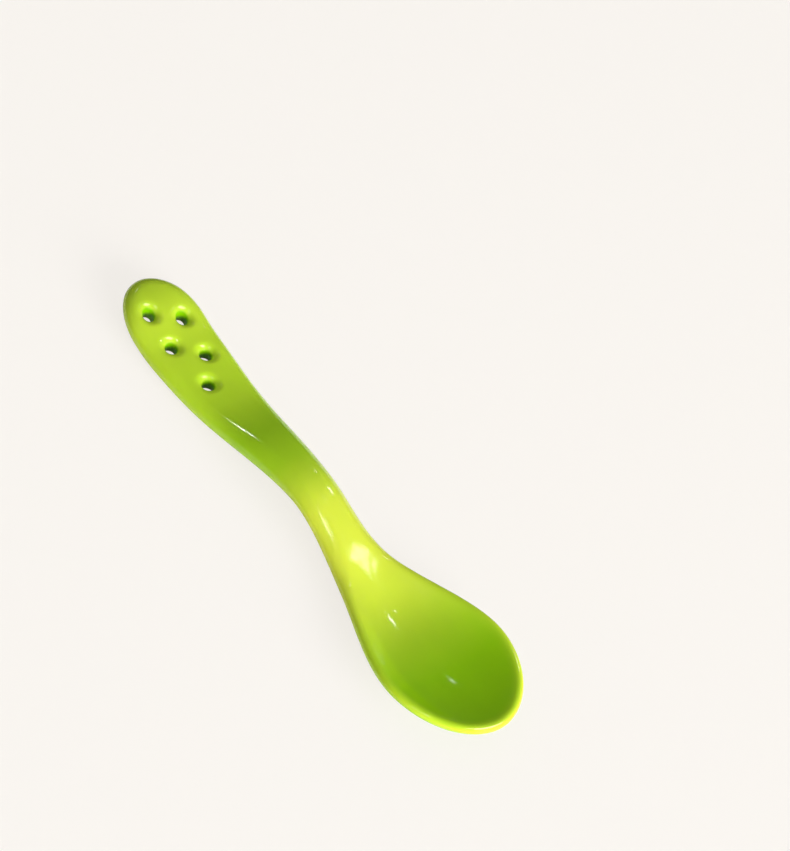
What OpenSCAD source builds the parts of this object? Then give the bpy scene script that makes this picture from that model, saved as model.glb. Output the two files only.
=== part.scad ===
// Small child's spoon, one plastic moulding: a flat paddle grip with five soft-edged
// holes, an arched stem, a narrow neck and a shallow egg-shaped bowl.
// Millimetres. X runs from the grip to the bowl, Y to the left and Z up. The origin lies
// on the table under the middle of the spoon, which rests on its grip and on its bowl.
// The four solids meet face to face. Each is a skin of closed rings round one middle
// sheet: the sheet gives the outline, the arch and the basin, and half the wall lies on
// either side of it, square to it.

/* [Overall] */
// Length from the end of the grip to the tip of the bowl
spoon_len = 135; // [120:1:160]

/* [Grip] */
// Width of the grip at its widest
grip_w = 19.3; // [16:0.1:24]
// Distance from the grip's end to its widest place
grip_wide_at = 13.5; // [9:0.5:17]
// Thickness of the grip between its two faces
grip_t = 4.6; // [3.8:0.1:6]
// Width of the rounding along the grip's edge
grip_edge = 3.2; // [2.4:0.1:4.5]
// How far the grip's end curls up above the flat of the grip
end_curl = 2.8; // [0:0.1:5]
// Length over which the end curls up
curl_run = 23; // [14:0.5:30]
// Length of the grip, up to the stem
grip_len = 46; // [40:0.5:50]

/* [Grip holes] */
// Diameter of the straight throat of each hole
hole_d = 2.6; // [2:0.1:3]
// Width of the soft lip round each hole, on both faces
hole_lip = 2.4; // [1.4:0.1:2.5]
// Depth to which each lip turns down
lip_depth = 2; // [1.2:0.1:2.1]
// Distance from the grip's end to the first hole
hole_start = 9.6; // [8:0.1:11]
// Distance along the grip from the first hole to the last
hole_run = 22.2; // [18:0.1:25]
// Distance across the grip between its two outermost holes
hole_spread = 7.1; // [6.8:0.1:8.5]

/* [Stem] */
// Height that the stem arches above the grip's level
arch_rise = 5.8; // [3:0.1:8]
// Distance from the grip's end to the start of the climb
climb_start = 26; // [22:0.5:32]
// Distance from the bowl's tip to the top of the climb
climb_top = 61; // [56:0.5:66]
// Thickness of the stem at its thickest
stem_t = 6.2; // [5:0.1:8]
// Width of the rounding along the stem's edge
stem_edge = 5; // [3.5:0.1:6]

/* [Neck] */
// Length of the neck, between the bowl and the stem
neck_len = 16; // [13:0.5:19]
// Width of the neck at its narrowest
waist_w = 11.2; // [9:0.1:14]
// Distance from the bowl's tip to the narrowest place
waist_at = 62.5; // [58:0.5:66]
// Thickness of the neck where it starts down to the bowl
neck_t = 5.6; // [4.6:0.1:7]
// Distance from the bowl's tip to the start of the descent
fall_start = 70.5; // [67:0.5:74]
// Distance from the bowl's tip to the end of the descent
fall_end = 42.5; // [38:0.5:48]

/* [Bowl] */
// Length of the bowl, from its tip back to the neck
bowl_len = 51; // [48:0.5:54]
// Width of the bowl at its widest
bowl_w = 31.6; // [26:0.2:38]
// Distance from the bowl's tip to its widest place
bowl_wide_at = 19.1; // [16:0.1:24]
// Depth of the basin below the rim
basin_depth = 5.5; // [4:0.1:7]
// Distance from the bowl's tip to the start of the basin
basin_start = 55.5; // [50:0.5:60]
// Distance from the bowl's tip to the middle of the basin
basin_mid = 24; // [19:0.5:28]
// Thickness of the bowl's wall
bowl_wall = 2.3; // [1.8:0.1:3]
// Width of the rounding along the lip
lip_edge = 1.3; // [1:0.05:1.6]
// Height that the rim climbs towards the tip
rim_rise = 5.3; // [3:0.1:7]
// Distance from the bowl's tip to the start of the rim's climb
rim_rise_start = 71; // [66:0.5:78]
// Distance from the bowl's tip to the end of the rim's climb
rim_rise_end = 2.5; // [1:0.5:10]

/* [Hidden] */

// Roundness of the grip's end: 1 is a half ellipse, more is squarer
grip_end_share = 1;
// Roundness of the bowl's tip: 1 is a half ellipse, less is more pointed
bowl_tip_share = 0.95;
// How late the bowl widens after the waist: 1 is an even curve, more is a fuller shoulder
shoulder_share = 1.3;
// Fullness of the basin: 1 is a plain dish, more has a flatter floor and steeper walls
basin_share = 1.14;
// Extra thickness along the middle of the grip and stem, as a share of the thickness
crown_share = 0.06;
// The edge's rounding reaches at most this share of the half width
edge_reach_share = 0.9;
// The lip of a hole ends this much short of a level quarter turn, as a share of it
lip_open_share = 1 / 6;

// Places of the five holes, as shares of hole_run along and hole_spread across
hole_shares = [
    [0, -0.52],
    [0.155, 0.485],
    [0.43, -0.475],
    [0.65, 0.41],
    [1, -0.245],
];

// Where the changes of section start and end, measured like the sizes above
thicken_start = 34;
thicken_end = 73;
slim_end = 58;
thin_start = 69;
thin_end = 36;

// Where the neck starts, measured back from the bowl's tip
neck_start = bowl_len + neck_len;

// Rings of points in each solid, and points in one quarter of a ring
grip_ring_count = 26;
stem_ring_count = 11;
neck_ring_count = 10;
bowl_ring_count = 34;
edge_point_count = 5;
face_point_count = 6;
lip_step_count = 7;

// Step for measuring a slope, and overrun of a cut past the face that it opens
probe = 0.002;
overrun = 1;
colour = [0.69, 0.82, 0.2];

// Places along X, measured from the grip's end
climb_top_x = spoon_len - climb_top;
waist_x = spoon_len - waist_at;
fall_start_x = spoon_len - fall_start;
fall_end_x = spoon_len - fall_end;
bowl_wide_x = spoon_len - bowl_wide_at;
basin_start_x = spoon_len - basin_start;
basin_mid_x = spoon_len - basin_mid;
rim_rise_start_x = spoon_len - rim_rise_start;
rim_rise_end_x = spoon_len - rim_rise_end;
thicken_end_x = spoon_len - thicken_end;
slim_end_x = spoon_len - slim_end;
thin_start_x = spoon_len - thin_start;
thin_end_x = spoon_len - thin_end;
neck_start_x = spoon_len - neck_start;
bowl_start_x = spoon_len - bowl_len;

// Shape functions

function within(t) = max(0, min(1, t));

// Smooth step from 0 at a to 1 at b, level and unbent at both ends
function ramp(x, a, b) = let (t = within((x - a) / (b - a))) t * t * t * (10 - 15 * t + 6 * t * t);

// Softer step for the outline, drawn out by a share
function blend(t, late_share) = let (u = pow(within(t), late_share)) u * u * (3 - 2 * u);

function between(a, b, t) = a + (b - a) * t;

// Half width at a share t of the way from the widest place of a round end to its tip
function round_end(w, t, share) = w / 2 * pow(max(0, 1 - pow(within(t), 2 * share)), 1 / (2 * share));

// Half width of the outline at x: a round end, a taper, a shoulder and a round tip
function half_width(x) =
    x < grip_wide_at ?
        round_end(grip_w, (grip_wide_at - x) / grip_wide_at, grip_end_share)
    : x < waist_x ?
        between(grip_w, waist_w, blend((x - grip_wide_at) / (waist_x - grip_wide_at), 1)) / 2
    : x < bowl_wide_x ?
        between(waist_w, bowl_w, blend((x - waist_x) / (bowl_wide_x - waist_x), shoulder_share)) / 2
    : round_end(bowl_w, (x - bowl_wide_x) / bowl_wide_at, bowl_tip_share);

// How much of the basin's depth is reached at x: 0 outside it and 1 at its middle
function basin_fill(x) =
    x < basin_mid_x ? ramp(x, basin_start_x, basin_mid_x)
    : 1 - pow(within((x - basin_mid_x) / basin_mid), 2);

// What is left of the rim at x, where s is the share of the half width: 1 on the rim
function rim_left(x, s) = within(1 - basin_fill(x) * (1 - s * s));

// How far the middle sheet lies below the rim
function sink(x, s) = basin_depth * (1 - pow(rim_left(x, s), basin_share));

// Level of the rim at the neck at which the bowl's underside just reaches the table
function sag(x) = sink(x, 0) - rim_rise * ramp(x, rim_rise_start_x, rim_rise_end_x);
bowl_sag = max([for (x = even_xs(bowl_start_x, bowl_wide_x, bowl_ring_count)) sag(x)]);
rim_low = bowl_sag + bowl_wall / 2;
neck_fall = grip_t / 2 + arch_rise - rim_low;

// Height of the rim line, which is the middle sheet's edge, above the table
function rim_line(x) =
    grip_t / 2
    + end_curl * (1 - ramp(x, 0, curl_run))
    + arch_rise * ramp(x, climb_start, climb_top_x)
    - neck_fall * ramp(x, fall_start_x, fall_end_x)
    + rim_rise * ramp(x, rim_rise_start_x, rim_rise_end_x);

// Thickness at x, away from the edge's rounding
function thickness(x) =
    grip_t
    + (stem_t - grip_t) * ramp(x, thicken_start, thicken_end_x)
    + (neck_t - stem_t) * ramp(x, thicken_end_x, slim_end_x)
    + (bowl_wall - neck_t) * ramp(x, slim_end_x, thin_end_x);

// Width of the edge's rounding at x
function edge_round(x) =
    grip_edge
    + (stem_edge - grip_edge) * ramp(x, thicken_start, thicken_end_x)
    + (lip_edge - stem_edge) * ramp(x, slim_end_x, thin_end_x);

// Slopes along X of the three curves that the middle sheet is made of
function rim_slope(x) = (rim_line(x + probe) - rim_line(x - probe)) / (2 * probe);
function width_slope(x) = (half_width(x + probe) - half_width(x - probe)) / (2 * probe);
function fill_slope(x) = (basin_fill(x + probe) - basin_fill(x - probe)) / (2 * probe);

// Unit normal of the middle sheet at x, where w is the half width and s the share of it
function sheet_normal(x, w, s) =
    let (
        steep = basin_depth * basin_share * pow(rim_left(x, s), basin_share - 1),
        filling = fill_slope(x) * (1 - s * s) + 2 * basin_fill(x) * s * s * width_slope(x) / w,
        dx = rim_slope(x) - steep * filling,
        dy = steep * 2 * basin_fill(x) * s / w,
        n = [-dx, -dy, 1]
    )
    n / norm(n);

// Half thickness at (x, y): a quarter round over the edge's rounding, full beyond it.
// The distance from the outline is the drop of w * w - y * y over its own slope.
function half_wall(x, y, w) =
    let (
        inside = (w * w - y * y) / (2 * sqrt(pow(w * width_slope(x), 2) + y * y) + probe),
        t = within(inside / edge_round(x)),
        flat = ramp(x, thin_start_x, thin_end_x),
        crown = 1 + crown_share * (1 - flat) * (1 - pow(y / w, 2))
    )
    thickness(x) / 2 * crown * sqrt(1 - (1 - t) * (1 - t));

// Point of the skin at (x, y), on the top face for side 1 and underneath for side -1
function skin(x, y, w, side) =
    let (sheet = [x - spoon_len / 2, y, rim_line(x) - sink(x, y / w)])
    sheet + side * half_wall(x, y, w) * sheet_normal(x, w, y / w);

// Y of the ring's points from the left edge to the right edge, close together on the edges
function ring_ys(w, r) =
    let (
        edge = [for (i = [0:edge_point_count]) w - r * (1 - cos(90 * i / edge_point_count))],
        face = [for (i = [1:face_point_count]) (w - r) * (1 - i / face_point_count)],
        left = concat(edge, face)
    )
    concat(left, [for (i = [len(left) - 2:-1:0]) -left[i]]);

// Closed ring at x: over the top from left to right, then back underneath
function ring(x) =
    let (
        w = half_width(x),
        ys = ring_ys(w, min(edge_round(x), edge_reach_share * w)),
        last = len(ys) - 1
    )
    concat([for (y = ys) skin(x, y, w, 1)], [for (i = [last - 1:-1:1]) skin(x, ys[i], w, -1)]);

ring_size = 4 * (edge_point_count + face_point_count);

// Even places from a to b, and places that crowd together towards a round end at b
function even_xs(a, b, count) = [for (i = [0:count]) a + (b - a) * i / count];
function crowded_xs(a, b, count) = [for (i = [0:count - 1]) a + (b - a) * sin(90 * i / count)];

// Faces of a skin of rings in order of X, from ring to ring and over the flat ends
function side_faces(rings) = [
    for (i = [0:rings - 2], j = [0:ring_size - 1])
    let (a = i * ring_size + j, b = i * ring_size + (j + 1) % ring_size)
    each [[a, a + ring_size, b + ring_size], [a, b + ring_size, b]]
];
function low_cap() = [for (j = [0:ring_size - 1]) j];
function high_cap(rings) = [for (j = [ring_size - 1:-1:0]) (rings - 1) * ring_size + j];

// Fans from a last ring to the one point where the outline closes
function low_fan(tip) = [for (j = [0:ring_size - 1]) [tip, j, (j + 1) % ring_size]];
function high_fan(rings, tip) =
    let (o = (rings - 1) * ring_size)
    [for (j = [0:ring_size - 1]) [tip, o + (j + 1) % ring_size, o + j]];

function outline_tip(x) = [x - spoon_len / 2, 0, rim_line(x)];

// Solids

module between_flats(xs) {
    points = [for (x = xs) each ring(x)];
    polyhedron(points, concat([low_cap()], side_faces(len(xs)), [high_cap(len(xs))]));
}

module soft_hole(place) {
    x = hole_start + hole_run * place[0];
    y = hole_spread * place[1];
    half = half_wall(x, y, half_width(x));
    throat_r = hole_d / 2;
    lip_x = throat_r + hole_lip;
    lip_z = half - lip_depth;
    open = 90 * lip_open_share;
    arc = [
        for (i = [0:lip_step_count])
        let (a = 180 - (90 - open) * i / lip_step_count)
        [lip_x + hole_lip * cos(a), lip_z + lip_depth * sin(a)]
    ];
    end = arc[lip_step_count];
    mouth = end + [overrun / tan(open), overrun];
    translate([x - spoon_len / 2, y, rim_line(x)])
        rotate([0, -atan(rim_slope(x)), 0]) {
            cylinder(h = 2 * (half + overrun), r = throat_r, center = true, $fn = 48);
            for (side = [0, 1])
                mirror([0, 0, side])
                    rotate_extrude($fn = 48)
                        polygon(concat([[0, lip_z]], arc, [mouth, [0, mouth[1]]]));
        }
}

module grip() {
    from_stem = crowded_xs(grip_len, 0, grip_ring_count);
    xs = [for (i = [len(from_stem) - 1:-1:0]) from_stem[i]];
    points = concat([for (x = xs) each ring(x)], [outline_tip(0)]);
    faces = concat(low_fan(len(points) - 1), side_faces(len(xs)), [high_cap(len(xs))]);
    color(colour)
        difference() {
            polyhedron(points, faces);
            for (place = hole_shares) soft_hole(place);
        }
}

module stem() {
    color(colour)
        between_flats(even_xs(grip_len, neck_start_x, stem_ring_count));
}

module neck() {
    color(colour)
        between_flats(even_xs(neck_start_x, bowl_start_x, neck_ring_count));
}

module bowl() {
    xs = crowded_xs(bowl_start_x, spoon_len, bowl_ring_count);
    points = concat([for (x = xs) each ring(x)], [outline_tip(spoon_len)]);
    faces = concat([low_cap()], side_faces(len(xs)), high_fan(len(xs), len(points) - 1));
    color(colour)
        polyhedron(points, faces);
}

grip();
stem();
neck();
bowl();
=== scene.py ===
# %% [markdown]
# A baby spoon, one moulding of lime-green polypropylene. The construction model already fixes its
# real size and its four named stretches: grip, stem, neck and bowl. This lesson lays a fine,
# seamless skin over that frame, gives it the gloss and depth of the real plastic, and lights it.
# Everything is in metres, in the frame of the construction model.

import bpy
import numpy as np
from mathutils import Matrix, Vector


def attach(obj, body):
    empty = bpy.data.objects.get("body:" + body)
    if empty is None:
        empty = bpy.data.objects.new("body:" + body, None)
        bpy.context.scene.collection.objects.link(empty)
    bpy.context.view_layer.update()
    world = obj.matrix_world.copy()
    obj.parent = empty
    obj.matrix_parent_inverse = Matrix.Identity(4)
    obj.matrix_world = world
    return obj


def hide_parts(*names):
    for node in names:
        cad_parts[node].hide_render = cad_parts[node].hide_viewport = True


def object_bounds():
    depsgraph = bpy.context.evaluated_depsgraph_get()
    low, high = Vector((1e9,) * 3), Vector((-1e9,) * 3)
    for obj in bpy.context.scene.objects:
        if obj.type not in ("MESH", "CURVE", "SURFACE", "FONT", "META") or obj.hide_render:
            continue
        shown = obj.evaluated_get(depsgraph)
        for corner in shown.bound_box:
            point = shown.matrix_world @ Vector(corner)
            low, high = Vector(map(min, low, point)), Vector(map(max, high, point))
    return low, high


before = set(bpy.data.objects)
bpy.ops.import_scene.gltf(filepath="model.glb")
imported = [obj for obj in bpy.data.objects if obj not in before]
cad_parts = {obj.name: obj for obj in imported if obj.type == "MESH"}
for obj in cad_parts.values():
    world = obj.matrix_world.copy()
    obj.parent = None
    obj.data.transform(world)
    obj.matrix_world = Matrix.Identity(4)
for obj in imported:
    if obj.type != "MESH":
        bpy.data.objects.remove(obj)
cad_low, cad_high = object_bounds()
print("frame nodes:", sorted(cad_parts))

# %% [markdown]
# Sizes. A spoon has few driving sizes: how long and wide its stretches are, how thick the plastic
# is, and how high the handle arches. Each is written once, in millimetres times mm, and every
# curve below is worked out from them. Places along the spoon are measured from the end of the
# grip, or, where the comment says so, back from the tip of the bowl, as a maker's drawing does.

# %% Sizes of the moulding
mm = 0.001

spoon_len = 135 * mm
# Grip: its widest place, its thickness, the radius of its edge, and how its end curls up
grip_w, grip_wide_at, grip_t, grip_edge = 19.3 * mm, 13.5 * mm, 4.6 * mm, 3.2 * mm
end_curl, curl_run = 2.8 * mm, 23 * mm
# Holes: throat, width and depth of the soft lip, and where the five of them lie
hole_d, hole_lip, lip_depth = 2.6 * mm, 2.4 * mm, 2.0 * mm
hole_start, hole_run, hole_spread = 9.6 * mm, 22.2 * mm, 7.1 * mm
hole_shares = ((0, -0.52), (0.155, 0.485), (0.43, -0.475), (0.65, 0.41), (1, -0.245))
# Underneath, the lips are shallower towards the grip's end, one depth for each hole
under_depths = np.array([0.9, 1.1, 1.7, 1.8, 2.3]) * mm
# Stem: the arch; climb_top is measured from the tip
arch_rise, climb_start, climb_top = 5.8 * mm, 26 * mm, 61 * mm
stem_t, stem_edge, thicken_start, thicken_end = 6.2 * mm, 5 * mm, 34 * mm, 73 * mm
# Neck: its waist and its fall into the bowl, from the tip
waist_w, waist_at, neck_t = 11.2 * mm, 62.5 * mm, 5.6 * mm
fall_start, fall_end, slim_end = 70.5 * mm, 42.5 * mm, 58 * mm
# Bowl: outline, basin, wall and lip, from the tip
bowl_w, bowl_wide_at, basin_depth = 31.6 * mm, 19.1 * mm, 5.5 * mm
basin_start, basin_mid = 55.5 * mm, 24 * mm
bowl_wall, lip_edge, thin_start, thin_end = 2.3 * mm, 1.3 * mm, 69 * mm, 36 * mm
rim_rise, rim_rise_start, rim_rise_end = 5.3 * mm, 71 * mm, 2.5 * mm
# How full each outline is, and how much the handle is crowned
grip_end_share, bowl_tip_share, shoulder_share = 1.0, 0.95, 1.3
basin_share, crown_share = 1.14, 0.06
# Finer than the construction model: how far the edge's rounding fades in, and how much the neck
# swells, with the places from the tip where the swell sets in and where it is full
edge_spread, neck_crown = 1.4, 0.24
swell_start, swell_end = 83 * mm, 59 * mm

print("spoon", round(spoon_len / mm), "mm long, with", len(hole_shares), "holes")

# %% [markdown]
# Outline. On the real spoon the plan is one flowing line: a round paddle, a slim waist and an
# egg-shaped bowl. It could be drawn with Bezier handles, but a width that is a function of the
# place along the spoon keeps both sides equal and can be read back at any point.

# %% The plan outline
def from_tip(distance):
    return spoon_len - distance


def ramp(v, start, end):
    """Rises from 0 to 1 as v goes from start to end: 10t^3 - 15t^4 + 6t^5, level at both ends."""
    t = np.clip((v - start) / (end - start), 0, 1)
    return t**3 * (10 - 15 * t + 6 * t**2)


def flow(t, share):
    """3u^2 - 2u^3 with u = t^share: an S from 0 to 1 whose middle moves with share."""
    u = np.clip(t, 0, 1) ** share
    return u**2 * (3 - 2 * u)


def round_end(width, t, share):
    """Half a width that closes as a superellipse as t goes from 0 to 1."""
    return width / 2 * np.maximum(0, 1 - np.clip(t, 0, 1) ** (2 * share)) ** (1 / (2 * share))


def half_width(v):
    """Round grip end, then an S down to the waist, an S out to the bowl, and the round tip."""
    to_waist = flow((v - grip_wide_at) / (from_tip(waist_at) - grip_wide_at), 1)
    to_bowl = flow((v - from_tip(waist_at)) / (waist_at - bowl_wide_at), shoulder_share)
    end = round_end(grip_w, (grip_wide_at - v) / grip_wide_at, grip_end_share)
    tip = round_end(bowl_w, (v - from_tip(bowl_wide_at)) / bowl_wide_at, bowl_tip_share)
    handle = (grip_w + (waist_w - grip_w) * to_waist) / 2
    shoulder = (waist_w + (bowl_w - waist_w) * to_bowl) / 2
    places = [v < grip_wide_at, v < from_tip(waist_at), v < from_tip(bowl_wide_at)]
    return np.select(places, [end, handle, shoulder], tip)


print("waist", round(2 * float(half_width(from_tip(waist_at))) / mm, 2), "mm wide")

# %% [markdown]
# Sheet. Plastic flows into a spoon mould as a bent sheet with a varying thickness. So the shape
# starts as a middle surface: the side view's line, sunk where the basin is. A plane could be
# pushed and pulled into that form, but a formula gives its slope at every point as well, and the
# wall needs that next.

# %% The middle surface
def basin_fill(v):
    """0 before the basin, 1 at its deepest place, and back to 0 at the tip as a parabola."""
    past = np.clip((v - from_tip(basin_mid)) / basin_mid, 0, 1)
    before = ramp(v, from_tip(basin_start), from_tip(basin_mid))
    return np.where(v < from_tip(basin_mid), before, 1 - past**2)


def rim_left(v, s):
    """How much of the way up to the rim a point is; s is its place across, -1 to 1."""
    return np.clip(1 - basin_fill(v) * (1 - s**2), 0, 1)


def sink(v, s):
    return basin_depth * (1 - rim_left(v, s) ** basin_share)


def rim_lift(v):
    return rim_rise * ramp(v, from_tip(rim_rise_start), from_tip(rim_rise_end))


bowl_line = np.linspace(from_tip(basin_start), from_tip(bowl_wide_at), 60)
rim_low = np.max(sink(bowl_line, 0) - rim_lift(bowl_line)) + bowl_wall / 2
neck_fall = grip_t / 2 + arch_rise - rim_low


def rim_line(v):
    """Side view: level grip with a curled end, a climb, a fall into the bowl, a rise to the tip."""
    curl = end_curl * (1 - ramp(v, 0, curl_run))
    climb = arch_rise * ramp(v, climb_start, from_tip(climb_top))
    fall = neck_fall * ramp(v, from_tip(fall_start), from_tip(fall_end))
    return grip_t / 2 + curl + climb - fall + rim_lift(v)


print("middle surface", round(float(rim_line(spoon_len)) / mm, 2), "mm up at the tip")

# %% [markdown]
# Wall. Half a wall is laid on each side of the sheet, along the sheet's own normal. A Solidify
# modifier would give one even wall, but a spoon is thick where it bends and thin where it only
# holds food. Here the thickness is a function too, and it closes as a round at the outline, so
# the edge of the handle and the lip of the bowl come out of the same formula.

# %% The wall on both sides of the sheet
def along(v, grip_size, stem_size, neck_size, bowl_size):
    """A size that changes from stretch to stretch by smooth ramps."""
    thicken = ramp(v, thicken_start, from_tip(thicken_end))
    slim = ramp(v, from_tip(thicken_end), from_tip(slim_end))
    thin = ramp(v, from_tip(slim_end), from_tip(thin_end))
    steps = (stem_size - grip_size) * thicken + (neck_size - stem_size) * slim
    return grip_size + steps + (bowl_size - neck_size) * thin


def thickness(v):
    return along(v, grip_t, stem_t, neck_t, bowl_wall)


def edge_round(v):
    """How far in from the outline the wall reaches its full thickness."""
    thicken = ramp(v, thicken_start, from_tip(thicken_end))
    narrow = ramp(v, from_tip(slim_end), from_tip(thin_end))
    return grip_edge + (stem_edge - grip_edge) * thicken + (lip_edge - stem_edge) * narrow


probe = 0.002 * mm


def slope(line, v):
    """Slope of a curve at v, from its values a small probe before and after."""
    return (line(v + probe) - line(v - probe)) / (2 * probe)


def sheet_normal(v, w, s):
    """Unit normal of the middle surface, from its slopes along and across."""
    steep = basin_depth * basin_share * rim_left(v, s) ** (basin_share - 1)
    spread = slope(basin_fill, v) * (1 - s**2) + 2 * basin_fill(v) * s**2 * slope(half_width, v) / w
    dx = slope(rim_line, v) - steep * spread
    dy = steep * 2 * basin_fill(v) * s / w
    normal = np.stack([-dx, -dy, np.ones_like(dx)], -1)
    return normal / np.linalg.norm(normal, axis=-1, keepdims=True)


def inside_edge(v, y, w):
    """How far a point lies inside the outline, by the outline's own slope."""
    return (w**2 - y**2) / (2 * np.sqrt((w * slope(half_width, v)) ** 2 + y**2) + probe)


def half_wall(v, y, w):
    """Half the wall: full inside, sqrt(1 - (1 - t)^3) over the edge, and crowned where it is
    handle. The cube lets the curving die out before the flat begins, so no crease shows."""
    t = np.clip(inside_edge(v, y, w) / (edge_spread * edge_round(v)), 0, 1)
    handle = 1 - ramp(v, from_tip(thin_start), from_tip(thin_end))
    swell = neck_crown * ramp(v, from_tip(swell_start), from_tip(swell_end)) * handle
    crown = (1 + (crown_share * handle + swell) * (1 - (y / w) ** 2)) / (1 + swell)
    return thickness(v) / 2 * crown * np.sqrt(1 - (1 - t) ** 3)


def skin(v, y, side, drop=0.0):
    """Point of the skin at (v, y): middle surface plus or minus (half wall - drop) along its normal."""
    w = half_width(v)
    middle = np.stack([v - spoon_len / 2, y, rim_line(v) - sink(v, y / w)], -1)
    away = side * (half_wall(v, y, w) - drop)
    return middle + away[..., None] * sheet_normal(v, w, y / w)


for stretch, v in (("grip", 0.0), ("stem", from_tip(thicken_end)), ("bowl", spoon_len)):
    print(stretch, "wall", round(float(thickness(v)) / mm, 2), "mm")

# %% [markdown]
# Dishes. Each hole of the grip sits in a soft dish, so that small fingers feel no edge. Its section
# is a quarter ellipse: level where it leaves the face, upright where it meets the throat. The wide
# outer part only lowers the skin, which the grid can follow by itself.

# %% Dishes round the holes
hole_places = [(hole_start + hole_run * a, hole_spread * b) for a, b in hole_shares]
dish_r = hole_d / 2 + hole_lip


def dish(v, y, depths):
    """Lowering of a face: depth (1 - sqrt(1 - u^2)), u the share of the way into the lip."""
    lowered = 0 * (v + y)
    for (v0, y0), depth in zip(hole_places, depths):
        apart = np.hypot((v - v0) * np.hypot(1, slope(rim_line, v0)), y - y0)
        u = np.clip((dish_r - apart) / hole_lip, 0, 1)
        lowered = lowered + depth * (1 - np.sqrt(1 - u**2))
    return lowered


over_depths = np.full(len(hole_places), lip_depth)
print("holes at", [(round(v / mm, 1), round(y / mm, 1)) for v, y in hole_places], "mm")

# %% [markdown]
# Grid. The skin is a closed band round the spoon: rows follow the length, columns go over the top
# and back underneath. Rows and columns crowd together where the surface turns quickly, so the
# round ends and the edges stay smooth without wasting faces on the flat middle.

# %% Rows and columns of the skin
row_step = 0.4 * mm
edge_cuts, flat_cuts = 11, 23
# The rounded edge takes at most this share of half the width
edge_reach_share = 0.9


def rows():
    """Each round end is walked by equal turns of a quarter circle, the middle by equal steps."""
    end_cuts, tip_cuts = (round(np.pi / 2 * reach / row_step) for reach in (grip_wide_at, bowl_wide_at))
    end = grip_wide_at * (1 - np.cos(np.linspace(0, np.pi / 2, end_cuts + 1)))
    tip = from_tip(bowl_wide_at * (1 - np.cos(np.linspace(np.pi / 2, 0, tip_cuts + 1))))
    middle_cuts = round((tip[0] - end[-1]) / row_step)
    return np.concatenate([end[1:-1], np.linspace(end[-1], tip[0], middle_cuts + 1), tip[1:-1]])


def columns(v):
    """Places across each row: equal turns of the rounded edge, then equal steps to the middle."""
    w = half_width(v)[:, None]
    r = np.minimum(edge_round(v)[:, None], edge_reach_share * w)
    turn = np.linspace(0, np.pi / 2, edge_cuts + 1)
    half = np.concatenate([w - r * (1 - np.cos(turn)), (w - r) * np.linspace(1, 0, flat_cuts + 1)[1:]], 1)
    return np.concatenate([half, -half[:, -2::-1]], 1)


row_v = rows()
grid_y = columns(row_v)
grid_v = np.repeat(row_v[:, None], grid_y.shape[1], 1)
row_count, column_count = grid_y.shape
band_count = 2 * column_count - 2
over = skin(grid_v, grid_y, 1, dish(grid_v, grid_y, over_depths))
under = skin(grid_v, grid_y, -1, dish(grid_v, grid_y, under_depths))
band = np.concatenate([over, under[:, -2:0:-1]], 1)
print("skin grid:", row_count, "rows of", band_count, "points")

# %% [markdown]
# Throats. A Boolean would leave ragged triangles that spoil the gloss. Instead a block of the grid
# in each dish is left open, and a funnel is carried from its edge over the steep part of the lip,
# down the throat and out again underneath, ring by ring, with as many points as the edge.

# %% Funnels of the holes
block_reach, mouth_r = 2.75 * mm, 2.35 * mm
collar_rings, lip_rings, throat_rings = 4, 12, 3


def funnel(v0, y0, edge_v, edge_y):
    """Rings from a block's edge to the one underneath. The collar slides in to the mouth along the
    skin; the lip turns down as a quarter ellipse, radius dish_r - lip sin a and drop
    depth (1 - cos a); the throat is a straight bore. The lip leans over from the skin's own
    normals to the bore's axis as a goes to 90 degrees."""
    angle = np.arctan2(edge_y - y0, edge_v - v0)
    w0 = half_width(v0)
    axis = sheet_normal(v0, w0, y0 / w0)
    tangent = np.array([axis[2], 0, -axis[0]])
    level = np.array([0.0, 1.0, 0.0])
    foot = np.array([v0 - spoon_len / 2, y0, rim_line(v0)])
    half = half_wall(v0, y0, w0)

    def ring_plan(reach):
        return v0 + reach * axis[2] * np.cos(angle), y0 + reach * np.sin(angle)

    t = np.linspace(0, 1, collar_rings + 1)[1:, None]
    mouth_v, mouth_y = ring_plan(mouth_r)
    collar = ((1 - t) * edge_v + t * mouth_v, (1 - t) * edge_y + t * mouth_y)
    start = np.arcsin((dish_r - mouth_r) / hole_lip)
    a = np.linspace(start, np.pi / 2, lip_rings + 1)[1:, None]
    reach = dish_r - hole_lip * np.sin(a)
    lip_v, lip_y = ring_plan(reach)
    outward = np.cos(angle)[:, None] * tangent + np.sin(angle)[:, None] * level
    lean = ramp(a, start, np.pi / 2)[..., None]

    def mouth_side(side, depths):
        depth = depths[hole_places.index((v0, y0))]
        drop = depth * (1 - np.cos(a))
        on_skin = skin(lip_v, lip_y, side, drop)
        on_axis = foot + reach[..., None] * outward + (side * (half - drop))[..., None] * axis
        on_collar = skin(*collar, side, dish(*collar, depths))
        return np.concatenate([on_collar, (1 - lean) * on_skin + lean * on_axis])

    above, below = mouth_side(1, over_depths), mouth_side(-1, under_depths)
    u = np.linspace(0, 1, throat_rings + 2)[1:-1, None, None]
    throat = (1 - u) * above[-1] + u * below[-1]
    return np.concatenate([above, throat, below[::-1]])


print("each funnel has", 2 * (collar_rings + lip_rings) + throat_rings, "rings")

# %% [markdown]
# Blocks. Each funnel takes the place of a block of the grid. The block could be picked by hand in
# edit mode, but here it is found from the hole's place, so it moves along when the hole does. The
# points round it are listed in order, because the funnel's rings follow them one by one.

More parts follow.
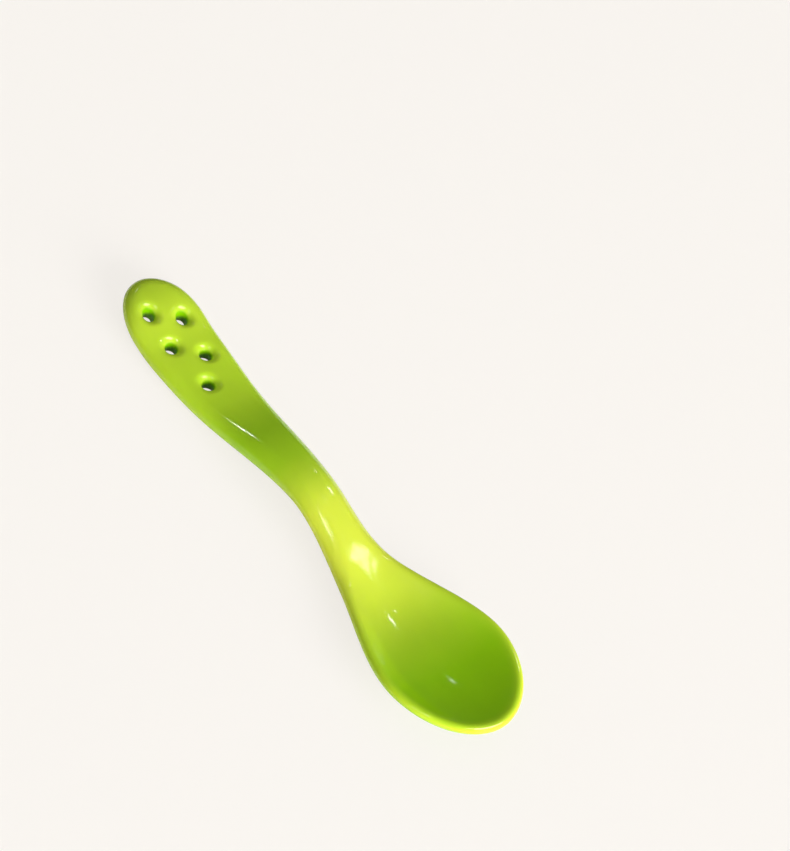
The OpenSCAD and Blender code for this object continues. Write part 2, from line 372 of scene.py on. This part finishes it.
# %% Blocks of the grid that the funnels replace
def block(v0, y0):
    """First and last row and column of the grid block that holds a hole."""
    near = np.abs(row_v - v0) < block_reach
    middle_row = np.argmin(np.abs(row_v - v0))
    across = np.abs(grid_y[middle_row] - y0) < block_reach
    row_ids, column_ids = np.nonzero(near)[0], np.nonzero(across)[0]
    return row_ids[0] - 1, row_ids[-1] + 1, column_ids[0] - 1, column_ids[-1] + 1


def block_edge(first_row, last_row, first_column, last_column):
    """Rows and columns of the grid points round a block, in order."""
    down = np.arange(first_row, last_row)
    across = np.arange(first_column, last_column)
    sides = [
        (down, np.full(down.size, first_column)),
        (np.full(across.size, last_row), across),
        (down[::-1] + 1, np.full(down.size, last_column)),
        (np.full(across.size, first_row), across[::-1] + 1),
    ]
    edge_rows, edge_columns = zip(*sides)
    return np.concatenate(edge_rows), np.concatenate(edge_columns)


def quads(ring_ids):
    """Faces between neighbouring rings of closed loops, wound to face outwards."""
    here, there = ring_ids[:-1], ring_ids[1:]
    return np.stack([here, there, np.roll(there, -1, 1), np.roll(here, -1, 1)], -1).reshape(-1, 4)


print("blocks (rows, columns):", [block(v0, y0) for v0, y0 in hole_places])

# %% [markdown]
# From points to a mesh. Every piece of this scene ends in the same few lines: points and faces go
# in, an object at the origin comes out. It counts the edges that don't lie between exactly two
# faces, because a closed skin must have none, while an open sheet has some along its rims.

# %% A mesh from points and faces
def mesh_object(name, points, faces):
    """An object at the origin, with smooth shading, from an array of points and a list of faces."""
    mesh = bpy.data.meshes.new(name)
    mesh.from_pydata(points.tolist(), [], faces)
    mesh.validate()
    mesh.shade_smooth()
    piece = bpy.data.objects.new(name, mesh)
    bpy.context.scene.collection.objects.link(piece)
    corner_edges = np.empty(len(mesh.loops), int)
    mesh.loops.foreach_get("edge_index", corner_edges)
    faces_at_edge = np.bincount(corner_edges, minlength=len(mesh.edges))
    open_edges = np.count_nonzero(faces_at_edge != 2)
    print(name, len(mesh.vertices), "points", len(mesh.polygons), "faces", open_edges, "open edges")
    return piece


# %% [markdown]
# Colour. The real plastic is one colour and lets a little light through. The colour laid on the points
# also carries painted light and shade: yellower and lighter where the lamp falls on the neck, lighter
# or darker along other stretches, greener in the bowl, a painted glow in pale yellow at the bowl's lip,
# and painted shade of deeper green inside the holes. A texture could be painted, but the colour follows
# the spoon's own shape, so it is worked out from the same outline and stored on the points as a colour
# attribute, which the material then reads.

# %% Colour of the plastic, with painted light and shade
# Places along the spoon, with the painted light at each: how far towards yellow, and how much lighter or
# darker, the colour is made there
painted_light_at = np.array([0, 12, 27, 39, 50, 60, 74, 86, 98, 110, 118, 135]) * mm
painted_yellow_level = np.array([0.5, 0.62, 0.5, 0.42, 0.2, 0.3, 0.95, 1, 0.75, 0.3, 0.05, 0])
painted_light_level = np.array([0.72, 0.96, 1.05, 1.1, 0.95, 1.0, 1, 1, 1, 0.95, 0.95, 0.95])
# The plastic's own green, and the yellow that painted light turns it towards where the lamp falls most
green, painted_light_yellow = np.array([0.27, 0.58, 0.001]), np.array([0.56, 0.64, 0.05])
# Painted glow at the bowl's lip, in pale yellow, and how far in from the edge it reaches
painted_lip_glow, painted_glow_reach = np.array([0.64, 0.72, 0.05]), 3.3 * mm
# Painted shade in the holes: a deeper green, and how far out from the bore it fades
painted_throat_shade, throat_shade_reach = np.array([0.17, 0.42, 0.0]), 0.5 * mm
# The painted glow at the lip sets in along the bowl, and only a share of it is left on the right
painted_glow_start, painted_glow_end = 96 * mm, 128 * mm
painted_glow_right_share, painted_glow_right_side = 0.6, -12 * mm


def colour_with_painted_light(v, y, z):
    """Colour at a place: the plastic's green, turned yellower, lighter or darker along the spoon by
    painted light and shade, and up to a pale yellow painted glow with the square of the nearness to the
    bowl's lip.
    Below the middle surface the painted glow fades out over half a wall, and it is weaker on the right.
    The throats get painted shade in deep green."""
    painted_warmth = np.interp(v, painted_light_at, painted_yellow_level)[:, None]
    body = ((1 - painted_warmth) * green + painted_warmth * painted_light_yellow) * np.interp(v, painted_light_at, painted_light_level)[:, None]
    w = np.maximum(half_width(v), probe)
    near = np.clip(1 - np.maximum(inside_edge(v, y, w), 0) / painted_glow_reach, 0, 1) ** 2
    # The painted glow keeps to the top of the lip's wall and is weaker on the right
    painted_glow_top = np.clip(1 + (z - rim_line(v) + sink(v, y / w)) / (bowl_wall / 2), 0, 1)
    side = painted_glow_right_share + (1 - painted_glow_right_share) * ramp(y, painted_glow_right_side, 0)
    glow = (near * painted_glow_top * side * ramp(v, painted_glow_start, painted_glow_end))[:, None]
    # Painted shade: the throats turn deep green
    apart = np.min([np.hypot(v - v0, y - y0) for v0, y0 in hole_places], axis=0)
    throat_shade_mask = 1 - ramp(apart, hole_d / 2, hole_d / 2 + throat_shade_reach)[:, None]
    return (1 - throat_shade_mask) * ((1 - glow) * body + glow * painted_lip_glow) + throat_shade_mask * painted_throat_shade


for name, v in (("neck", from_tip(waist_at)), ("basin", from_tip(basin_mid))):
    print("colour of the", name, colour_with_painted_light(*np.array([[v], [0.0], [0.0]]))[0].round(3))

# %% [markdown]
# The spoon. The band, the five funnels and a fan of triangles at each end are joined into one
# mesh. Nothing is merged or cut afterwards: neighbours share their points by number, so the skin
# is closed by the way it is built. It replaces all four stretches of the construction model,
# because the real moulding shows no seam between them.

# %% The spoon's mesh
def spoon_mesh():
    """One closed skin: band faces outside the hole blocks, funnels inside them, a fan at each end."""
    ids = np.arange(row_count * band_count).reshape(row_count, band_count)
    keep = np.ones((row_count - 1, band_count), bool)
    points, faces = [band.reshape(-1, 3)], []
    count = ids.size
    for v0, y0 in hole_places:
        first_row, last_row, first_column, last_column = block(v0, y0)
        keep[first_row:last_row, first_column:last_column] = False
        keep[first_row:last_row, band_count - last_column:band_count - first_column] = False
        edge_rows, edge_columns = block_edge(first_row, last_row, first_column, last_column)
        rings = funnel(v0, y0, row_v[edge_rows], grid_y[edge_rows, edge_columns])
        ring_ids = count + np.arange(rings.shape[0] * rings.shape[1]).reshape(rings.shape[:2])
        top_ids, under_ids = ids[edge_rows, edge_columns], ids[edge_rows, band_count - edge_columns]
        faces.append(quads(np.concatenate([top_ids[None], ring_ids, under_ids[None]])))
        points.append(rings.reshape(-1, 3))
        count += ring_ids.size
    around = np.roll(ids, -1, 1)
    walls = np.stack([ids[:-1], around[:-1], around[1:], ids[1:]], -1)
    faces.append(walls[keep])
    ends = np.array([[-spoon_len / 2, 0, rim_line(0.0)], [spoon_len / 2, 0, rim_line(spoon_len)]])
    points.append(ends)
    start_fan = np.stack([np.full(band_count, count), around[0], ids[0]], -1)
    tip_fan = np.stack([np.full(band_count, count + 1), ids[-1], around[-1]], -1)
    all_faces = np.concatenate(faces).tolist() + start_fan.tolist() + tip_fan.tolist()
    place = np.concatenate(points)
    piece = mesh_object("spoon", place, all_faces)
    # The colour on the points: the plastic's green with painted light, glow and shade
    colour = np.ones((len(place), 4))
    colour[:, :3] = colour_with_painted_light(place[:, 0] + spoon_len / 2, place[:, 1], place[:, 2])
    layer = piece.data.attributes.new("colour_with_painted_light", "FLOAT_COLOR", "POINT")
    layer.data.foreach_set("color", colour.ravel())
    return piece


spoon = spoon_mesh()

# %% [markdown]
# Nodes. A material is a small network, and most of its lines only make a node and set its
# values. They could be placed by hand in the shader editor. With one helper the cells below read
# as a list of what the finish is.

# %% A node with its values
def node(tree, kind, name, **settings):
    """One node. A setting that the node itself has is set there, any other on the socket that is
    named so, with spaces for underlines."""
    made = tree.nodes.new(kind)
    made.name = made.label = name
    for key, value in settings.items():
        if hasattr(made, key):
            setattr(made, key, value)
        else:
            made.inputs[key.replace("_", " ")].default_value = value
    return made


# %% [markdown]
# Finish. A glossy moulding is never a perfect mirror: the melt leaves faint clouds as it flows,
# the mould's polish is slightly uneven, and a child's hands and teeth rub it and leave hairlines.
# These could be painted maps, but noise in the spoon's own coordinates has no seam and no size
# limit. They sit in one node group with named inputs, so another moulding could wear the same
# finish with values of its own.

# %% The finish of a moulding
def moulding_finish():
    """What a mould and a child's hands leave on glossy plastic. In go the roughness where the
    polish is whole, the roughness where it is rubbed, and how much a hairline adds. Out come the
    flow that clouds the colour, the roughness, and the height of a face that is never quite flat."""
    group = bpy.data.node_groups.new("moulding_finish", "ShaderNodeTree")
    sockets = {"INPUT": ("Polished", "Rubbed", "Hairlines"), "OUTPUT": ("Flow", "Roughness", "Height")}
    for way, names in sockets.items():
        for name in names:
            group.interface.new_socket(name=name, in_out=way, socket_type="NodeSocketFloat")
    given = node(group, "NodeGroupInput", "given")
    place = node(group, "ShaderNodeTexCoord", "place")
    drawn = node(group, "ShaderNodeMapping", "drawn out along the spoon", Scale=(40, 160, 160))
    flow = node(group, "ShaderNodeTexNoise", "flow of the melt", Scale=1.0, Detail=3.0)
    rub = node(group, "ShaderNodeTexNoise", "rubbed patches", Scale=90.0, Detail=4.0, Roughness=0.6)
    across = node(group, "ShaderNodeMapping", "hairline direction", Scale=(60, 2600, 60))
    across.inputs["Rotation"].default_value = (0, 0, 0.5)
    hair = node(group, "ShaderNodeTexNoise", "hairlines", Scale=1.0, Detail=1.0)
    thin = node(group, "ShaderNodeMapRange", "only the finest", From_Min=0.68, From_Max=0.78)
    skin_map = node(group, "ShaderNodeTexNoise", "mould skin", Scale=420.0, Detail=2.0)
    dull = node(group, "ShaderNodeMapRange", "patch gloss", From_Min=0.3, From_Max=0.7)
    worn = node(group, "ShaderNodeMath", "gloss with hairlines", operation="MULTIPLY_ADD")
    out = node(group, "NodeGroupOutput", "out")
    links = group.links
    for mapping, texture in ((drawn, flow), (across, hair)):
        links.new(place.outputs["Object"], mapping.inputs["Vector"])
        links.new(mapping.outputs["Vector"], texture.inputs["Vector"])
    for texture in (rub, skin_map):
        links.new(place.outputs["Object"], texture.inputs["Vector"])
    links.new(hair.outputs["Fac"], thin.inputs["Value"])
    links.new(rub.outputs["Fac"], dull.inputs["Value"])
    links.new(given.outputs["Polished"], dull.inputs["To Min"])
    links.new(given.outputs["Rubbed"], dull.inputs["To Max"])
    links.new(thin.outputs["Result"], worn.inputs[0])
    links.new(given.outputs["Hairlines"], worn.inputs[1])
    links.new(dull.outputs["Result"], worn.inputs[2])
    links.new(flow.outputs["Fac"], out.inputs["Flow"])
    links.new(worn.outputs["Value"], out.inputs["Roughness"])
    links.new(skin_map.outputs["Fac"], out.inputs["Height"])
    return group


# %% [markdown]
# Green plastic. Polypropylene with a strong pigment: a saturated body under a clear, hard gloss, and
# soft enough to light that edges and lips glow a little. A Principled BSDF has all three: the base
# colour, the reflection of index 1.49, and light that wanders up to a millimetre or so under the surface.
# Red and green wander further than blue, which is why thin places turn a little yellow. The base colour
# itself carries painted light and shade: yellower and lighter on the neck, a painted glow at the lip and
# painted shade in the holes.

# %% Green plastic
def green_plastic():
    """The colour with its painted light and shade, and the finish, on one Principled BSDF, with light
    scattered under the surface.
    """
    material = bpy.data.materials.new("green_plastic")
    material.use_nodes = True
    tree = material.node_tree
    nodes, links = tree.nodes, tree.links
    shader = nodes["Principled BSDF"]
    shader.inputs["IOR"].default_value = 1.49
    shader.inputs["Subsurface Weight"].default_value = 0.4
    shader.inputs["Subsurface Radius"].default_value = (0.8, 1.0, 0.15)
    shader.inputs["Subsurface Scale"].default_value = 1.5 * mm
    finish = node(tree, "ShaderNodeGroup", "finish", node_tree=moulding_finish())
    for name, value in (("Polished", 0.07), ("Rubbed", 0.12), ("Hairlines", 0.12)):
        finish.inputs[name].default_value = value
    # Reads the plastic's green with its painted light and shade from the points
    colour = node(tree, "ShaderNodeAttribute", "colour_with_painted_light", attribute_name="colour_with_painted_light")
    tint = node(tree, "ShaderNodeHueSaturation", "flow in the colour")
    spread = node(tree, "ShaderNodeMapRange", "lighter and darker", To_Min=0.95, To_Max=1.05)
    bump = node(tree, "ShaderNodeBump", "mould skin relief", Strength=0.25, Distance=0.04 * mm)
    links.new(finish.outputs["Flow"], spread.inputs["Value"])
    links.new(spread.outputs["Result"], tint.inputs["Value"])
    links.new(colour.outputs["Color"], tint.inputs["Color"])
    links.new(tint.outputs["Color"], shader.inputs["Base Color"])
    links.new(finish.outputs["Roughness"], shader.inputs["Roughness"])
    links.new(finish.outputs["Height"], bump.inputs["Height"])
    links.new(bump.outputs["Normal"], shader.inputs["Normal"])
    return material


spoon.data.materials.append(green_plastic())
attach(spoon, "root")
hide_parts("grip", "stem", "neck", "bowl")
print("its material has", len(spoon.data.materials[0].node_tree.nodes), "nodes, the finish among them")

# %% [markdown]
# Paper. The spoon lies on plain pale paper. Brighter lamps would whiten the paper but spoil the
# plastic, so the camera sees most of the paper as a colour of its own and the rest as lit paper,
# which keeps the spoon's soft shadow. Glossy surfaces see part of that colour as well.

# %% Pale paper
paper_lit, paper_seen = (0.93, 0.90, 0.86, 1), (0.945, 0.913, 0.87, 1)
camera_share, mirror_share = 0.85, 0.15


def pale_floor():
    """Lit paper mixed with the colour that is seen: camera_share of it for the camera, and
    mirror_share times that for mirror rays."""
    material = bpy.data.materials.new("pale_floor")
    material.use_nodes = True
    tree = material.node_tree
    nodes, links = tree.nodes, tree.links
    shader = nodes["Principled BSDF"]
    shader.inputs["Base Color"].default_value = paper_lit
    shader.inputs["Roughness"].default_value = 0.9
    shader.inputs["Specular IOR Level"].default_value = 0.1
    glow = node(tree, "ShaderNodeEmission", "colour that is seen", Color=paper_seen)
    path = node(tree, "ShaderNodeLightPath", "kind of ray")
    mirrored = node(tree, "ShaderNodeMath", "mirror ray", operation="ADD", use_clamp=True)
    any_way = node(tree, "ShaderNodeMath", "camera or mirror ray", operation="MULTIPLY_ADD")
    any_way.inputs[1].default_value = mirror_share
    share = node(tree, "ShaderNodeMath", "share of that colour", operation="MULTIPLY")
    share.inputs[1].default_value = camera_share
    mix = node(tree, "ShaderNodeMixShader", "paper")
    links.new(path.outputs["Is Glossy Ray"], mirrored.inputs[0])
    links.new(path.outputs["Is Transmission Ray"], mirrored.inputs[1])
    links.new(mirrored.outputs["Value"], any_way.inputs[0])
    links.new(path.outputs["Is Camera Ray"], any_way.inputs[2])
    links.new(any_way.outputs["Value"], share.inputs[0])
    links.new(share.outputs["Value"], mix.inputs["Fac"])
    links.new(shader.outputs["BSDF"], mix.inputs[1])
    links.new(glow.outputs["Emission"], mix.inputs[2])
    links.new(mix.outputs["Shader"], nodes["Material Output"].inputs["Surface"])
    return material


# %% [markdown]
# Sweep. Far behind the spoon the paper bends up into a wall, as in a photographer's studio. A
# plane with one bent side would do for one view, but a profile that is turned about the upright
# axis looks the same from every side, so the spoon can be looked at from anywhere.

# %% The floor and the backdrop behind it
turned_cuts, bend_cuts = 96, 12
# The flat disc starts at a tiny ring, out of sight under the spoon
centre_r = 0.1 * mm
# Reach of the disc, radius of the bend and height of the wall above it, in metres
disc, bend, wall = 2.4, 0.6, 0.9


def turned(name, profile):
    """Surface of revolution about z: a ring of equal turns at each (reach, rise) of the profile."""
    angle = np.linspace(0, 2 * np.pi, turned_cuts + 1)[:-1]
    reach, rise = np.array(profile).T[:, :, None]
    rings = np.stack([reach * np.cos(angle), reach * np.sin(angle), rise + 0 * angle + cad_low.z], -1)
    ids = np.arange(rings.size // 3).reshape(rings.shape[:2])
    around = np.roll(ids, -1, 1)
    faces = np.stack([ids[:-1], ids[1:], around[1:], around[:-1]], -1).reshape(-1, 4)
    return mesh_object(name, rings.reshape(-1, 3), faces.tolist())


bend_angles = np.linspace(0, np.pi / 2, bend_cuts + 1)
cove = [(disc + bend * np.sin(a), bend * (1 - np.cos(a))) for a in bend_angles]
floor = turned("floor", [(centre_r, 0), (disc, 0)])
backdrop = turned("backdrop", cove + [(disc + bend, bend + wall)])
plain = pale_floor()
for stand in (floor, backdrop):
    stand.data.materials.append(plain)
backdrop.visible_glossy = False

# %% [markdown]
# Lamps. The long low shadow side and the bright neck show one large lamp beyond the bowl's end.
# A sun lamp could light the spoon from there as well, but its shadows are hard. The mirror image
# of the large lamp would burn out the plastic in low views, so the key lights the spoon and a much
# weaker lamp in the same place is what the gloss mirrors.

# %% The key lamp
def lamp(name, aim, direction, distance, size, radiance):
    """A rectangular lamp out along a direction from its aim in mm, facing it. A face that gives
    off radiance all round needs radiance * pi * area watts."""
    data = bpy.data.lights.new(name, "AREA")
    data.shape = "RECTANGLE"
    data.size, data.size_y = size
    data.energy = radiance * np.pi * size[0] * size[1]
    lamp_object = bpy.data.objects.new(name, data)
    bpy.context.scene.collection.objects.link(lamp_object)
    away = Vector(direction).normalized()
    place = Vector(aim) * mm + away * distance
    facing = away.to_track_quat("Z", "Y").to_matrix().to_4x4()
    lamp_object.matrix_world = Matrix.Translation(place) @ facing
    lamp_object.visible_camera = False
    return lamp_object


# Aim in millimetres, direction from there, then distance and size in metres
key_place = (20, 0, 5), (0.94, 0, 0.342), 2.0, (1.4, 0.9)
key_radiance, key_sheen_radiance = 18.8, 7
key = lamp("key", *key_place, key_radiance)
key.visible_glossy = False
print("key lamp", round(key.data.energy, 1), "W")

# %% [markdown]
# Glints. Small windows and lamps leave crisp marks on the neck, the handle and the bowl. Each
# mark tells where its lamp was: the direction from the camera, mirrored in the surface there. So
# each lamp below has the place that it marks in millimetres, the mirrored direction, how far away
# it is and how large. They don't light the plastic's body, only its gloss.

# %% The lamps that the gloss mirrors
glints = {
    "key_sheen": (*key_place, key_sheen_radiance),
    "neck_left_pane": ((14, -3, 8), (0.115, -0.46, 0.88), 0.6, (0.06, 0.12), 14),
    "neck_left_strip": ((14, -3, 8), (0.16, -0.25, 0.955), 0.6, (0.05, 0.08), 14),
    "neck_right": ((20, 1, 6), (0.255, 0.525, 0.81), 0.6, (0.045, 0.03), 12),
    "neck_dot": ((4.8, -0.7, 10.9), (-0.02, 0.47, 0.88), 0.3, (0.006, 0.005), 30),
    "handle_line": ((-17.6, -3.8, 8.2), (-0.756, 0.235, 0.605), 0.3, (0.011, 0.012), 75),
    "bowl_mark": ((33.8, -1.2, 2.5), (-0.195, 0.654, 0.733), 0.3, (0.03, 0.009), 35),
    "tip_mark": ((52.5, 0, 4.3), (-0.554, 0.547, 0.627), 0.3, (0.005, 0.005), 25),
    "dishes": ((-47, 0, 4.5), (0.55, 0.27, 0.79), 0.6, (0.3, 0.2), 10),
}
for name, values in glints.items():
    glint = lamp(name, *values)
    glint.visible_diffuse = False
print(len(glints), "lamps for the gloss alone")

# %% [markdown]
# World. An even, faintly warm sky fills the shadows. A picture of a studio could do that, but an
# even sky puts no shapes of its own on the gloss. Mirror rays see it much dimmer, because a bright
# sky all round would lay a grey veil there.

# %% World
sky_light, sky_mirrored = 0.43, 0.06
world = bpy.data.worlds.new("studio")
world.use_nodes = True
tree = world.node_tree
sky = tree.nodes["Background"]
sky.inputs["Color"].default_value = (1.0, 0.99, 0.97, 1)
path = node(tree, "ShaderNodeLightPath", "kind of ray")
dim = node(tree, "ShaderNodeMath", "dimmer for mirror rays", operation="MULTIPLY_ADD")
dim.inputs[1].default_value = sky_mirrored - sky_light
dim.inputs[2].default_value = sky_light
tree.links.new(path.outputs["Is Glossy Ray"], dim.inputs[0])
tree.links.new(dim.outputs["Value"], sky.inputs["Strength"])
bpy.context.scene.world = world
print("sky", sky_light, "for light,", sky_mirrored, "for mirror rays")

# %% [markdown]
# Camera. It looks down at about 47 degrees, from beyond the bowl and to its right, with a long
# lens, as the photograph does. It could be turned by eye, but its place and two of its axes were
# fitted, so that the spoon's outline falls where it does in the picture. The third axis is worked
# out from those two.

# %% Camera
camera_place = Vector((166.01, -233.87, 347.85)) * mm
camera_right = Vector((0.5937, 0.7537, 0.2820))
camera_back = Vector((0.3711, -0.5674, 0.7351))

camera_data = bpy.data.cameras.new("camera")
camera_data.sensor_fit = "HORIZONTAL"
camera_data.sensor_width = 36.0
camera_data.lens = 93.35
camera = bpy.data.objects.new("camera", camera_data)
bpy.context.scene.collection.objects.link(camera)
camera_up = camera_back.cross(camera_right)
camera_turn = Matrix((camera_right, camera_up, camera_back)).transposed()
camera.matrix_world = Matrix.Translation(camera_place) @ camera_turn.to_4x4()
bpy.context.scene.camera = camera
bpy.context.scene.view_settings.view_transform = "Standard"
print("camera", round(camera_place.length / mm), "mm away, with a lens of", round(camera_data.lens), "mm")
